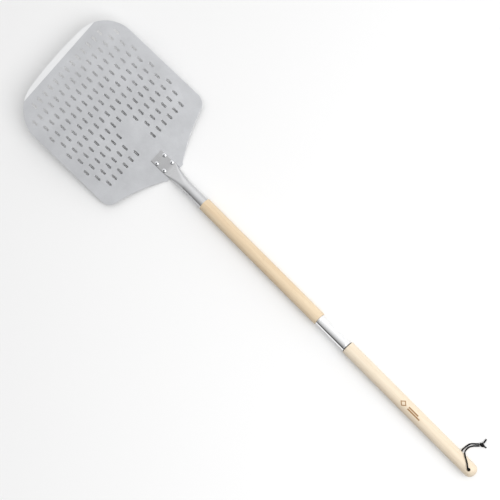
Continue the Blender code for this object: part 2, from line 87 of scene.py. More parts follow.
# ---------------------------------------------------------------- material helpers
class Paint:
    """A Principled material and short ways to wire procedural nodes into it."""

    def __init__(self, name, colour, roughness, metallic=0.0, **sockets):
        self.material = bpy.data.materials.new(name)
        self.material.use_nodes = True
        self.tree = self.material.node_tree
        self.shader = self.tree.nodes["Principled BSDF"]
        self.put("Base Color", (*colour, 1.0))
        self.put("Roughness", roughness)
        self.put("Metallic", metallic)
        for key, value in sockets.items():
            self.put(key.replace("_", " "), value)
        self.coords = self.tree.nodes.new("ShaderNodeTexCoord").outputs["Object"]

    def put(self, socket, value):
        self.shader.inputs[socket].default_value = value

    def node(self, kind, **inputs):
        node = self.tree.nodes.new(kind)
        for key, value in inputs.items():
            target = node.inputs[key.replace("_", " ")]
            if hasattr(value, "is_output"):
                self.tree.links.new(value, target)
            else:
                target.default_value = value
        return node

    def stretch(self, scale, turn=(0.0, 0.0, 0.0)):
        node = self.node("ShaderNodeMapping", Vector=self.coords)
        node.inputs["Scale"].default_value = scale
        node.inputs["Rotation"].default_value = turn
        return node.outputs["Vector"]

    def noise(self, vector, scale, detail=4.0, roughness=0.5, distortion=0.0):
        node = self.node("ShaderNodeTexNoise", Vector=vector, Scale=scale, Detail=detail)
        node.inputs["Roughness"].default_value = roughness
        node.inputs["Distortion"].default_value = distortion
        return node.outputs["Fac"]

    def ramp(self, value, *stops):
        node = self.node("ShaderNodeValToRGB", Fac=value)
        band = node.color_ramp
        while len(band.elements) < len(stops):
            band.elements.new(0.5)
        for element, (place, colour) in zip(band.elements, stops):
            element.position = place
            element.color = (*colour, 1.0) if len(colour) == 3 else colour
        return node.outputs["Color"]

    def span(self, value, low, high, to_low, to_high):
        node = self.node("ShaderNodeMapRange", Value=value)
        for key, number in zip(("From Min", "From Max", "To Min", "To Max"),
                               (low, high, to_low, to_high)):
            node.inputs[key].default_value = number
        return node.outputs["Result"]

    def math(self, operation, a, b=None):
        node = self.tree.nodes.new("ShaderNodeMath")
        node.operation = operation
        for socket, value in zip(node.inputs, (a, b)):
            if value is None:
                continue
            if hasattr(value, "is_output"):
                self.tree.links.new(value, socket)
            else:
                socket.default_value = value
        return node.outputs[0]

    def mix(self, factor, a, b, blend="MIX"):
        node = self.tree.nodes.new("ShaderNodeMix")
        node.data_type = "RGBA"
        node.blend_type = blend
        for index, value in ((0, factor), (6, a), (7, b)):
            if hasattr(value, "is_output"):
                self.tree.links.new(value, node.inputs[index])
            elif index == 0:
                node.inputs[0].default_value = value
            else:
                node.inputs[index].default_value = (*value, 1.0)
        return node.outputs[2]

    def link(self, value, socket):
        self.tree.links.new(value, self.shader.inputs[socket])

    def bump(self, height, strength, distance, under=None):
        node = self.node("ShaderNodeBump", Height=height, Strength=strength, Distance=distance)
        if under is not None:
            self.tree.links.new(under, node.inputs["Normal"])
        self.link(node.outputs["Normal"], "Normal")
        return node.outputs["Normal"]


def metal(name, colour, roughness, brush=(900.0, 60.0, 900.0), grain=0.15, spread=0.06):
    """Satin metal with fine drawn lines, faint mottling and small dull scuffs."""
    paint = Paint(name, colour, roughness, 1.0)
    lines = paint.noise(paint.stretch(brush), 1.0, 3.0, 0.6)
    cloud = paint.noise(paint.coords, 18.0, 3.0, 0.55)
    scuff = paint.noise(paint.stretch((140.0, 90.0, 140.0)), 1.0, 5.0, 0.7)
    dark = tuple(c * (1 - spread) for c in colour)
    light = tuple(min(1.0, c * (1 + spread * 0.6)) for c in colour)
    tone = paint.ramp(cloud, (0.35, dark), (0.68, light))
    streak = paint.ramp(lines, (0.3, (0.93, 0.93, 0.935)), (0.7, (1.0, 1.0, 1.0)))
    paint.link(paint.mix(1.0, tone, streak, "MULTIPLY"), "Base Color")
    rough = paint.span(scuff, 0.3, 0.75, roughness - 0.05, roughness + 0.09)
    paint.link(rough, "Roughness")
    paint.bump(lines, grain, 0.00006)
    return paint


MARK_X = -0.0020
EMBLEM_AT = 0.6710
EMBLEM_HALF = (0.0066, 0.0078)
EMBLEM_LINE = 0.38
BARS = ((0.0020, 0.7000, 0.0160, 0.0013), (-0.0022, 0.6965, 0.0125, 0.0013))


def burnt_mark(paint, tone, grain):
    """A plain diamond outline and two bars, scorched into the top of the wood."""
    split = paint.node("ShaderNodeSeparateXYZ", Vector=paint.coords)
    x, y, z = split.outputs

    def distance(value, middle):
        return paint.math("ABSOLUTE", paint.math("SUBTRACT", value, middle))

    reach = paint.math(
        "ADD",
        paint.math("DIVIDE", distance(x, MARK_X), EMBLEM_HALF[0]),
        paint.math("DIVIDE", distance(y, tail(EMBLEM_AT)), EMBLEM_HALF[1]))
    edge = distance(reach, 1 - EMBLEM_LINE / 2)
    mask = paint.span(edge, EMBLEM_LINE * 0.4, EMBLEM_LINE * 0.6, 1.0, 0.0)
    for aside, middle, half_length, half_width in BARS:
        along = paint.span(distance(y, tail(middle)), half_length, half_length + 0.0002, 1.0, 0.0)
        across = paint.span(distance(x, MARK_X + aside), half_width, half_width + 0.0002, 1.0, 0.0)
        mask = paint.math("MAXIMUM", mask, paint.math("MULTIPLY", along, across))
    mask = paint.math("MULTIPLY", mask, paint.span(z, AXIS_Z, AXIS_Z + 0.004, 0.0, 1.0))
    mask = paint.math("MULTIPLY", mask, paint.span(grain, 0.3, 0.6, 0.80, 1.0))
    return paint.mix(mask, tone, (0.27, 0.13, 0.03))


def wood(name, pale, mid, dark, mark=False):
    """Straight-grained pale wood: long fibres, soft growth bands, short pores, light soiling."""
    paint = Paint(name, pale, 0.62, 0.0)
    bands = paint.noise(paint.stretch((95.0, 3.2, 70.0)), 1.0, 3.0, 0.55, 0.6)
    fibres = paint.noise(paint.stretch((1500.0, 22.0, 1500.0)), 1.0, 4.0, 0.65)
    pores = paint.noise(paint.stretch((2600.0, 95.0, 2600.0)), 1.0, 2.0, 0.5)
    cloud = paint.noise(paint.stretch((14.0, 5.0, 14.0)), 1.0, 3.0, 0.5)
    tone = paint.ramp(bands, (0.30, mid), (0.52, pale), (0.74, dark))
    fibre = paint.ramp(fibres, (0.25, (0.90, 0.88, 0.84)), (0.65, (1.0, 1.0, 1.0)))
    tone = paint.mix(1.0, tone, fibre, "MULTIPLY")
    pore = paint.ramp(pores, (0.27, (0.72, 0.62, 0.50)), (0.36, (1.0, 1.0, 1.0)))
    tone = paint.mix(0.7, tone, pore, "MULTIPLY")
    soil = paint.ramp(cloud, (0.35, (0.95, 0.92, 0.88)), (0.65, (1.0, 1.0, 1.0)))
    tone = paint.mix(0.8, tone, soil, "MULTIPLY")
    if mark:
        tone = burnt_mark(paint, tone, fibres)
    paint.link(tone, "Base Color")
    paint.link(paint.span(fibres, 0.3, 0.7, 0.52, 0.70), "Roughness")
    first = paint.bump(fibres, 0.22, 0.00012)
    paint.bump(pores, 0.25, 0.00010, first)
    return paint


# ---------------------------------------------------------------- mesh helpers
def add(name, data, paint, body, replaces=()):
    """Put a painted piece in the scene, hang it on its body and hide the CAD nodes it replaces."""
    obj = bpy.data.objects.new(name, data)
    bpy.context.scene.collection.objects.link(obj)
    data.materials.clear()
    data.materials.append(paint.material)
    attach(obj, body)
    if replaces:
        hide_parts(*replaces)
    return obj


def smooth(mesh, angle=None):
    """Shade smooth, with edges sharper than angle kept crisp."""
    for polygon in mesh.polygons:
        polygon.use_smooth = True
    if angle is not None:
        work = bmesh.new()
        work.from_mesh(mesh)
        for edge in work.edges:
            if len(edge.link_faces) == 2:
                edge.smooth = edge.calc_face_angle() < angle
        work.to_mesh(mesh)
        work.free()


def grid_mesh(name, rings, cap_first=False, cap_last=False, close=False):
    """Quads between closed rings of equal counts."""
    count = len(rings[0])
    verts = [point for ring in rings for point in ring]
    faces = []
    last = len(rings) if close else len(rings) - 1
    for r in range(last):
        s = (r + 1) % len(rings)
        for i in range(count):
            j = (i + 1) % count
            faces.append((r * count + i, r * count + j, s * count + j, s * count + i))
    if cap_first:
        faces.append(tuple(range(count))[::-1])
    if cap_last:
        faces.append(tuple((len(rings) - 1) * count + i for i in range(count)))
    mesh = bpy.data.meshes.new(name)
    mesh.from_pydata([tuple(v) for v in verts], [], faces)
    mesh.update()
    work = bmesh.new()
    work.from_mesh(mesh)
    bmesh.ops.remove_doubles(work, verts=work.verts, dist=0.0000005)
    bmesh.ops.recalc_face_normals(work, faces=work.faces)
    work.to_mesh(mesh)
    work.free()
    return mesh


def lathe(name, profile, centre, axis, count=96, close=False):
    """A solid turned from (radius, distance along axis) points."""
    axis = Vector(axis).normalized()
    side = Vector((1.0, 0.0, 0.0))
    if abs(axis.x) > 0.9:
        side = Vector((0.0, 1.0, 0.0))
    side = (side - axis * side.dot(axis)).normalized()
    other = axis.cross(side)
    centre = Vector(centre)
    rings = []
    for radius, along in profile:
        base = centre + axis * along
        rings.append([
            base + (side * cos(2 * pi * i / count) + other * sin(2 * pi * i / count)) * radius
            for i in range(count)
        ])
    return grid_mesh(name, rings, close=close)


def arc_points(centre, radius, start, end, count):
    return [
        (centre[0] + radius * cos(start + (end - start) * i / count),
         centre[1] + radius * sin(start + (end - start) * i / count))
        for i in range(count + 1)
    ]


def fillet_profile(points, radius, steps=4):
    """Round the inner corners of an open profile."""
    result = [points[0]]
    for before, corner, after in zip(points, points[1:], points[2:]):
        c = Vector(corner)
        a = Vector(before) - c
        b = Vector(after) - c
        cut = min(radius, a.length * 0.45, b.length * 0.45)
        p, q = c + a.normalized() * cut, c + b.normalized() * cut
        for i in range(steps + 1):
            t = i / steps
            result.append(tuple((1 - t) ** 2 * p + 2 * t * (1 - t) * c + t * t * q))
    result.append(points[-1])
    return result


# ---------------------------------------------------------------- materials
ALUMINIUM = metal("blade_satin", (0.70, 0.71, 0.73), 0.40, (1300.0, 55.0, 1300.0), 0.10)
# Painted highlight: the ground bevel's paler colour is partly the bare ground metal and partly a
# stand-in for the bright reflection along the front edge.
GROUND_WITH_HIGHLIGHT = metal("blade_ground_and_highlight", (0.95, 0.955, 0.96), 0.55, (60.0, 1600.0, 900.0), 0.20, 0.02)
NECK = metal("neck_satin", (0.61, 0.613, 0.62), 0.30, (1500.0, 80.0, 1500.0), 0.10)
RIVET = metal("rivet_bright", (0.74, 0.75, 0.77), 0.24, (500.0, 500.0, 500.0), 0.06)
MANDREL = metal("mandrel_dull", (0.13, 0.13, 0.14), 0.50, (900.0, 900.0, 900.0), 0.30, 0.25)
POLISHED = metal("coupling_polished", (0.95, 0.955, 0.96), 0.12, (40.0, 1500.0, 40.0), 0.02, 0.02)
STEEL = metal("screw_plain", (0.42, 0.42, 0.43), 0.34, (700.0, 700.0, 700.0), 0.12, 0.15)
BRASS = metal("insert_turned", (0.72, 0.52, 0.24), 0.30, (60.0, 1800.0, 60.0), 0.10)
UPPER = wood("upper_beech", (0.72, 0.59, 0.42), (0.68, 0.54, 0.37), (0.63, 0.47, 0.30))
LOWER = wood("lower_beech", (0.77, 0.68, 0.55), (0.72, 0.62, 0.485), (0.66, 0.55, 0.415),
             mark=True)


def washer_paint():
    paint = Paint("washer_fibre", (0.045, 0.042, 0.04), 0.85)
    speck = paint.noise(paint.coords, 2400.0, 3.0, 0.6)
    tone = paint.ramp(speck, (0.35, (0.03, 0.028, 0.026)), (0.7, (0.075, 0.07, 0.065)))
    paint.link(tone, "Base Color")
    paint.bump(speck, 0.3, 0.0001)
    return paint


def cord_paint():
    """Black braid: slanting strands both ways with a dull, slightly fuzzy sheen, and painted shade
    in the gaps between strands.
    """
    paint = Paint("cord_braid", (0.005, 0.005, 0.0055), 0.80, 0.0, Specular_IOR_Level=0.15)
    weave = paint.tree.nodes.new("ShaderNodeTexWave")
    weave.wave_type = "BANDS"
    weave.bands_direction = "DIAGONAL"
    weave.inputs["Scale"].default_value = 420.0
    weave.inputs["Distortion"].default_value = 1.5
    paint.tree.links.new(paint.coords, weave.inputs["Vector"])
    other = paint.tree.nodes.new("ShaderNodeTexWave")
    other.wave_type = "BANDS"
    other.bands_direction = "DIAGONAL"
    other.inputs["Scale"].default_value = 420.0
    other.inputs["Distortion"].default_value = 1.5
    paint.tree.links.new(paint.stretch((-1.0, 1.0, 1.0)), other.inputs["Vector"])
    braid = paint.math("MAXIMUM", weave.outputs["Fac"], other.outputs["Fac"])
    fuzz = paint.noise(paint.coords, 3800.0, 2.0, 0.6)
    height = paint.math("ADD", braid, paint.math("MULTIPLY", fuzz, 0.4))
    # Painted shade: the tone follows the braid's height and is darkest in the gaps between
    # strands; the fuzz varies it at random.
    tone = paint.ramp(height, (0.3, (0.002, 0.002, 0.0022)), (1.0, (0.010, 0.010, 0.011)))
    paint.link(tone, "Base Color")
    paint.bump(height, 0.6, 0.00025)
    return paint


WASHER = washer_paint()
BRAID = cord_paint()


# ---------------------------------------------------------------- cord
CORD_RADIUS = 0.0015
CORD_FLOOR = 0.00155
HOLE_Y = REAR_Y - 0.0156
KNOT = Vector((-0.0492, tail(0.8330), 0.0043))
STRAND_A = (
    (0.0000, 0.8475, 0.0178), (0.0000, 0.8475, 0.0250), (0.0000, 0.8472, 0.0300),
    (-0.0014, 0.8448, 0.0338), (-0.0045, 0.8408, 0.0338), (-0.0080, 0.8360, 0.0318),
    (-0.0133, 0.8258, 0.0272), (-0.0164, 0.8206, 0.0200), (-0.0182, 0.8190, 0.0120),
    (-0.0222, 0.8184, 0.0050), (-0.0260, 0.8187, 0.0022), (-0.0308, 0.8202, CORD_FLOOR),
    (-0.0368, 0.8243, 0.0018), (-0.0441, 0.8311, 0.0028),
)
STRAND_B = (
    (0.0006, 0.8481, 0.0173), (0.0010, 0.8487, 0.0120), (0.0012, 0.8491, 0.0065),
    (0.0010, 0.8488, 0.0038), (0.0004, 0.8478, 0.0022), (-0.0004, 0.8461, CORD_FLOOR),
    (-0.0022, 0.8400, CORD_FLOOR), (-0.0048, 0.8270, CORD_FLOOR),
    (-0.0092, 0.8162, CORD_FLOOR), (-0.0150, 0.8135, CORD_FLOOR),
    (-0.0202, 0.8134, CORD_FLOOR), (-0.0310, 0.8151, CORD_FLOOR),
    (-0.0366, 0.8181, CORD_FLOOR), (-0.0425, 0.8242, 0.0018), (-0.0465, 0.8283, 0.0028),
)
TAIL_A = ((-0.0542, 0.8326, 0.0036), (-0.0575, 0.8324, 0.0026), (-0.0631, 0.8314, CORD_FLOOR))
TAIL_B = ((-0.0497, 0.8376, 0.0034), (-0.0502, 0.8395, 0.0024), (-0.0508, 0.8425, CORD_FLOOR))


def route(points):
    return [Vector((x, tail(y), z)) for x, y, z in points]


def smooth_path(knots, spacing):
    """Points at about an even spacing on a Catmull-Rom curve through the knots."""
    ends = [2 * knots[0] - knots[1]] + knots + [2 * knots[-1] - knots[-2]]
    dense = []
    for a, b, c, d in zip(ends, ends[1:], ends[2:], ends[3:]):
        for i in range(16):
            t = i / 16
            spot = 2 * b + (c - a) * t + (2 * a - 5 * b + 4 * c - d) * t**2
            dense.append((spot + (3 * b - a - 3 * c + d) * t**3) / 2)
    dense.append(knots[-1])
    path = [dense[0]]
    for spot in dense:
        if (spot - path[-1]).length >= spacing:
            path.append(spot)
    path[-1] = dense[-1]
    return path


def tube_curve(name, path, radius, resolution=5):
    curve = bpy.data.curves.new(name, "CURVE")
    curve.dimensions = "3D"
    curve.bevel_depth = radius
    curve.bevel_resolution = resolution
    curve.use_fill_caps = True
    spline = curve.splines.new("POLY")
    spline.points.add(len(path) - 1)
    for point, spot in zip(spline.points, path):
        point.co = (*spot, 1.0)
    return curve


KNOT_WAY = Vector((-0.764, 0.645, 0.0))
KNOT_TURNS = 1.5
KNOT_LOOP = 0.0033
KNOT_CORD = 0.0017
CORE_LENGTH = 0.0084


def knot_wrap_path(steps=48):
    """One and a half turns of cord wound loosely round the knot's own axis."""
    path = []
    for i in range(steps + 1):
        a = 2 * pi * i / steps * KNOT_TURNS
        across = cos(a) * (KNOT_LOOP - 0.0006 * cos(2 * a))
        lean = 0.0021 * cos(a / KNOT_TURNS + 0.6)
        path.append(Vector((across, lean, sin(a) * 0.0022)))
    return path


def knot_core_path(steps=12):
    """The cord that runs through the knot, a little wavy."""
    shares = [i / steps - 0.5 for i in range(steps + 1)]
    return [Vector((0.0012 * sin(t * 2 * pi), t * CORE_LENGTH, -0.0006)) for t in shares]


def add_cords():
    """Two strands from the hole's mouths to the knot, with the knot and tails going along."""
    toward = KNOT_WAY.normalized()
    across = Vector((toward.y, -toward.x, 0.0))
    basis = Matrix((across, toward, Vector((0.0, 0.0, 1.0)))).transposed()
    wrap_path = [KNOT + basis @ p for p in knot_wrap_path()]
    knot = add("knot_wrap", tube_curve("knot_wrap", wrap_path, KNOT_CORD), BRAID,
               "lower_handle", ("cord_knot",))
    core_path = [KNOT + basis @ p for p in knot_core_path()]
    core = add("knot_core", tube_curve("knot_core", core_path, 0.0016), BRAID,
               "lower_handle")
    for name, points in (("tail_a", TAIL_A), ("tail_b", TAIL_B)):
        path = smooth_path(route(points), 0.0008)
        add(name, tube_curve(name, path, CORD_RADIUS), BRAID,
                         "lower_handle", ("cord_" + name,))
    for name, points in (("strand_a", STRAND_A), ("strand_b", STRAND_B)):
        path = smooth_path(route(points), 0.0010)
        strand = add(name, tube_curve(name, path, CORD_RADIUS), BRAID,
                     "lower_handle", ("cord_" + name,))


add_cords()


# ---------------------------------------------------------------- blade
FRONT_RADIUS = 0.905
FRONT_CORNER = 0.080
SIDE_LENGTH = 0.1986
REAR_CORNER = 0.025
BEVEL_DEPTH = 0.014
BEVEL_DROP = 0.0009
RIM = 0.00016
SLOT_LENGTH = 0.015
SLOT_WIDTH = 0.005
SLOT_PITCH = 0.0174
ROW_PITCH = 0.0255
FIRST_ROW = 0.0375
ROW_REACH = (6.0, 7.5, 7.0, 7.5, 7.0, 7.5, 7.0, 7.5, 7.0, 6.5)
BARE_ROWS = {7: 0.5, 8: 1.0, 9: 0.5}
RIVET_SPOTS = [(x, -0.0308 + y) for y in (-0.011, 0.011) for x in (-0.012, 0.012)]
BLADE_PLACE = Matrix.Translation((0.0, TAIL_Y, 0.0)) @ Matrix.Rotation(-BLADE_TILT, 4, "X")


def half_outline():
    """The +X half of the blade's outline, front middle to tail, with the tail at y = 0."""
    points = [(0.0, 0.0)]
    heading = 0.0

    def bend(radius, turn, count):
        nonlocal heading
        step = turn / count
        for _ in range(count):
            heading += step / 2
            run = 2 * radius * sin(abs(step) / 2)
            x, y = points[-1]
            points.append((x + run * cos(heading), y + run * sin(heading)))
            heading += step / 2

    corner_x = BLADE_WIDTH / 2 - FRONT_CORNER
    front_turn = atan2(corner_x, sqrt((FRONT_RADIUS - FRONT_CORNER) ** 2 - corner_x**2))
    bend(FRONT_RADIUS, front_turn, 24)
    bend(FRONT_CORNER, pi / 2 - front_turn, 48)
    points.append((points[-1][0], points[-1][1] + SIDE_LENGTH))
    bend(REAR_CORNER, radians(74.5), 26)
    bend(0.412, -radians(16.0), 20)
    bend(0.008, -radians(28.5), 10)
    bend(0.003, pi - heading, 14)
    tail_y = points[-1][1]
    return [(x, y - tail_y) for x, y in points]


def slot_centres(front_y):
    centres = []
    for row, reach in enumerate(ROW_REACH):
        y = front_y + FIRST_ROW + row * ROW_PITCH
        for i in range(int(2 * reach) + 1):
            place = i - reach
            if abs(place) > BARE_ROWS.get(row, -1.0):
                centres.append((place * SLOT_PITCH, y))
    return centres


def add_spline(curve, points):
    spline = curve.splines.new("POLY")
    spline.points.add(len(points) - 1)
    for point, (x, y) in zip(spline.points, points):
        point.co = (x, y, 0.0, 1.0)
    spline.use_cyclic_u = True


def add_blade():
    half = half_outline()
    curve = bpy.data.curves.new("blade_sheet", "CURVE")
    curve.dimensions = "2D"
    curve.fill_mode = "BOTH"
    curve.extrude = BLADE_THICKNESS / 2 - RIM
    curve.bevel_depth = RIM
    curve.bevel_resolution = 1
    curve.offset = -RIM
    add_spline(curve, half + [(-x, y) for x, y in reversed(half)][:-1])
    front_y = half[0][1]
    end = (SLOT_LENGTH - SLOT_WIDTH) / 2
    for x, y in slot_centres(front_y):
        add_spline(curve, arc_points((x, y + end), SLOT_WIDTH / 2, 0.0, pi, 9)
                   + arc_points((x, y - end), SLOT_WIDTH / 2, pi, 2 * pi, 9))
    for x, y in RIVET_SPOTS:
        add_spline(curve, arc_points((x, y), 0.0027, 0.0, 2 * pi * 23 / 24, 23))
    holder = bpy.data.objects.new("sheet_holder", curve)
    bpy.context.scene.collection.objects.link(holder)
    bpy.context.view_layer.update()
    shaped = holder.evaluated_get(bpy.context.evaluated_depsgraph_get())
    mesh = bpy.data.meshes.new_from_object(shaped)
    bpy.data.objects.remove(holder, do_unlink=True)
    mesh.name = "blade_sheet"
    mesh.transform(Matrix.Translation((0.0, 0.0, BLADE_THICKNESS / 2)))
    ground = grind_front(mesh, front_y + BEVEL_DEPTH)
    mesh.transform(BLADE_PLACE)
    smooth(mesh, radians(28))
    up = BLADE_PLACE.to_3x3() @ Vector((0.0, 0.0, 1.0))
    for polygon in mesh.polygons:
        polygon.use_smooth = abs(polygon.normal.dot(up)) < 0.98
    blade = add("blade_sheet", mesh, ALUMINIUM, "head", ("blade",))
    # The ground faces take the paler bevel paint, which carries a painted highlight along the
    # front edge.
    blade.data.materials.append(GROUND_WITH_HIGHLIGHT.material)
    for polygon, index in zip(mesh.polygons, ground):
        polygon.material_index = index


def grind_front(mesh, line_y):
    """Lower the top in front of line_y in a straight slope. Returns 1 for each ground face."""
    work = bmesh.new()
    work.from_mesh(mesh)
    bmesh.ops.remove_doubles(work, verts=work.verts, dist=0.0000005)
    everything = work.verts[:] + work.edges[:] + work.faces[:]
    bmesh.ops.bisect_plane(work, geom=everything, plane_co=(0.0, line_y, 0.0),
                           plane_no=(0.0, 1.0, 0.0), dist=0.0000001)
    for vert in work.verts:
        ahead = line_y - vert.co.y
        if ahead > 0 and vert.co.z > BLADE_THICKNESS * 0.3:
            share = vert.co.z / BLADE_THICKNESS
            vert.co.z -= share * BEVEL_DROP * ahead / BEVEL_DEPTH
    work.normal_update()
    ground = []
    for face in work.faces:
        middle = face.calc_center_median()
        bevel = middle.y < line_y and middle.z > BLADE_THICKNESS * 0.25
        ground.append(1 if bevel and face.normal.z > 0.5 else 0)
    work.to_mesh(mesh)
    work.free()
    return ground


add_blade()


# ---------------------------------------------------------------- neck
TUBE_RADIUS = 0.01125
TUBE_WALL = 0.0012
FLAT_THICKNESS = 0.0027
FLAT_AHEAD = 0.0540
BEND_START = -0.012
BEND_END = 0.044
BEND_PULL = 0.016
BEND_EASE = 1.4
TUBE_END = 0.0967
NECK_POINTS = 128


def pressed(fraction, thickness, girth_radius):
    """A point on a tube pressed to a thickness, its girth kept, by its share of the way round."""
    radius = thickness / 2
    straight = pi * (girth_radius - radius)
    run = (fraction % 1.0) * 2 * pi * girth_radius
    quarter = pi * radius / 2
    if run < quarter:
        return straight / 2 + radius * cos(run / radius), radius * sin(run / radius)
    if run < quarter + straight:
        return straight / 2 - (run - quarter), radius
    if run < 3 * quarter + straight:
        angle = pi / 2 + (run - quarter - straight) / radius
        return -straight / 2 + radius * cos(angle), radius * sin(angle)
    if run < 3 * quarter + 2 * straight:
        return -straight / 2 + (run - 3 * quarter - straight), -radius
    angle = 1.5 * pi + (run - 3 * quarter - 2 * straight) / radius
    return straight / 2 + radius * cos(angle), radius * sin(angle)


def neck_ring(station, inset=0.0):
    """World points of a cross-section, drawn in from the outside by inset."""
    (y, z), (along_y, along_z), blend = station
    thickness = FLAT_THICKNESS + (2 * TUBE_RADIUS - FLAT_THICKNESS) * blend
    half_width = pi * (TUBE_RADIUS - thickness / 2) / 2 + thickness / 2
    squeeze = max(1 - 2 * inset / thickness, 0.1)
    ring = []
    for i in range(NECK_POINTS):
        x, h = pressed(i / NECK_POINTS, thickness, TUBE_RADIUS)
        x *= 1 - inset / half_width
        h = thickness / 2 + h * squeeze
        ring.append((x, tail(y) - h * along_z, z + h * along_y))
    return ring


def on_blade(y, z):
    """(y, z), still measured from the tail, of a point in the tilted blade's own frame."""
    return y * cos(BLADE_TILT) + z * sin(BLADE_TILT), -y * sin(BLADE_TILT) + z * cos(BLADE_TILT)


def neck_stations(count=40):
    height = BLADE_THICKNESS + GAP
    flat_way = (cos(BLADE_TILT), -sin(BLADE_TILT))
    start = Vector(on_blade(BEND_START, height))
    end = Vector((BEND_END, AXIS_Z - TUBE_RADIUS))
    stations = [
        (on_blade(-FLAT_AHEAD + (FLAT_AHEAD + BEND_START) * i / 6, height), flat_way, 0.0)
        for i in range(6)
    ]
    pull_in = Vector(flat_way) * BEND_PULL * 3
    pull_out = Vector((1.0, 0.0)) * BEND_PULL * 3
    for i in range(count + 1):
        t = i / count
        spot = (2 * t**3 - 3 * t**2 + 1) * start + (t**3 - 2 * t**2 + t) * pull_in
        spot += (3 * t**2 - 2 * t**3) * end + (t**3 - t**2) * pull_out
        way = (6 * t**2 - 6 * t) * start + (3 * t**2 - 4 * t + 1) * pull_in
        way += (6 * t - 6 * t**2) * end + (3 * t**2 - 2 * t) * pull_out
        way.normalize()
        stations.append((tuple(spot), tuple(way), 1 - (1 - t) ** BEND_EASE))
    for i in range(1, 5):
        y = BEND_END + (TUBE_END - BEND_END) * i / 4
        stations.append(((y, AXIS_Z - TUBE_RADIUS), (1.0, 0.0), 1.0))
    return stations


def add_neck():
    stations = neck_stations()
    rings = [neck_ring(s) for s in stations]
    rings += [neck_ring(s, TUBE_WALL) for s in reversed(stations)]
    mesh = grid_mesh("neck_skin", rings, close=True)
    smooth(mesh, radians(40))
    neck = add("neck_skin", mesh, NECK, "head", ("neck_tube",))
    bevel = neck.modifiers.new("edge", "BEVEL")
    bevel.width = 0.00025
    bevel.segments = 2
    bevel.limit_method = "ANGLE"
    bevel.angle_limit = radians(50)


add_neck()


# ---------------------------------------------------------------- rivets
def add_rivets():
    top = BLADE_THICKNESS + 2 * GAP + FLAT_THICKNESS
    radius, height, bore, shank = 0.0045, 0.0015, 0.0014, 0.0024
    outer = [
        (radius * sin(a), top + height * cos(a)) for a in
        [0.40 + (pi / 2 - 0.40) * i / 12 for i in range(13)]
    ]
    crown = outer[0][1]
    foot = -GAP - 0.0016
    under = [(shank, top), (shank, -GAP), (0.0034, -GAP - 0.0001), (0.0036, -GAP - 0.0006),
             (0.0033, -GAP - 0.0012), (0.0024, foot), (bore, foot)]
    lip = [(bore, crown - 0.0009), (bore, crown - 0.00025), (bore + 0.00025, crown + 0.00004)]
    profile = lip + outer + [(radius - 0.0002, top - 0.00002)] + under
    for i, (x, y) in enumerate(RIVET_SPOTS, 1):
        mesh = lathe(f"rivet_body_{i}", profile, (x, y, 0.0), (0, 0, 1), 48, close=True)
        mesh.transform(BLADE_PLACE)
        smooth(mesh, radians(50))
        add(f"rivet_body_{i}", mesh, RIVET, "head", (f"rivet_{i}",))
        pin = [(0.0, foot - 0.0001), (0.0009, foot), (0.0012, foot + 0.0003),
               (0.0012, crown - 0.0009), (0.0010, crown - 0.00072),
               (0.0006, crown - 0.0008), (0.0003, crown - 0.00062), (0.0, crown - 0.0007)]
        mesh = lathe(f"rivet_stem_{i}", pin, (x, y, 0.0), (0, 0, 1), 24)
        mesh.transform(BLADE_PLACE)
        smooth(mesh, radians(40))
        add(f"rivet_stem_{i}", mesh, MANDREL, "head", (f"rivet_pin_{i}",))


add_rivets()


# ---------------------------------------------------------------- handle
UPPER_START = 0.0970
UPPER_LENGTH = 0.3380
TENON_RADIUS = 0.0097
TENON_LENGTH = 0.032
SLEEVE_START = UPPER_START + UPPER_LENGTH + GAP
SLEEVE_LENGTH = 0.0780
SLEEVE_OUTER = 0.0114
SLEEVE_INNER = 0.0100
STUD_RADIUS = 0.0050
STUD_LENGTH = 0.0160
THREAD_PITCH = 0.0015
WASHER_START = SLEEVE_START + SLEEVE_LENGTH + GAP
LOWER_START = WASHER_START + 0.0012 + GAP
LOWER_LENGTH = 0.3480
LOWER_ROUNDING = 0.012
INSERT_RADIUS = 0.0075
INSERT_LENGTH = 0.018
ALONG = (0.0, 1.0, 0.0)


def on_axis(y):
    return (0.0, tail(y), AXIS_Z)


def add_upper():
    far = UPPER_LENGTH
    profile = [(0.0, -TENON_LENGTH), (TENON_RADIUS, -TENON_LENGTH), (TENON_RADIUS, 0.0),
               (WOOD_RADIUS, 0.0), (WOOD_RADIUS, far), (TENON_RADIUS, far),
               (TENON_RADIUS, far + TENON_LENGTH), (0.0, far + TENON_LENGTH)]
    mesh = lathe("upper_wood", fillet_profile(profile, 0.0013), on_axis(UPPER_START), ALONG)
    smooth(mesh, radians(40))
    add("upper_wood", mesh, UPPER, "head", ("upper_grip",))


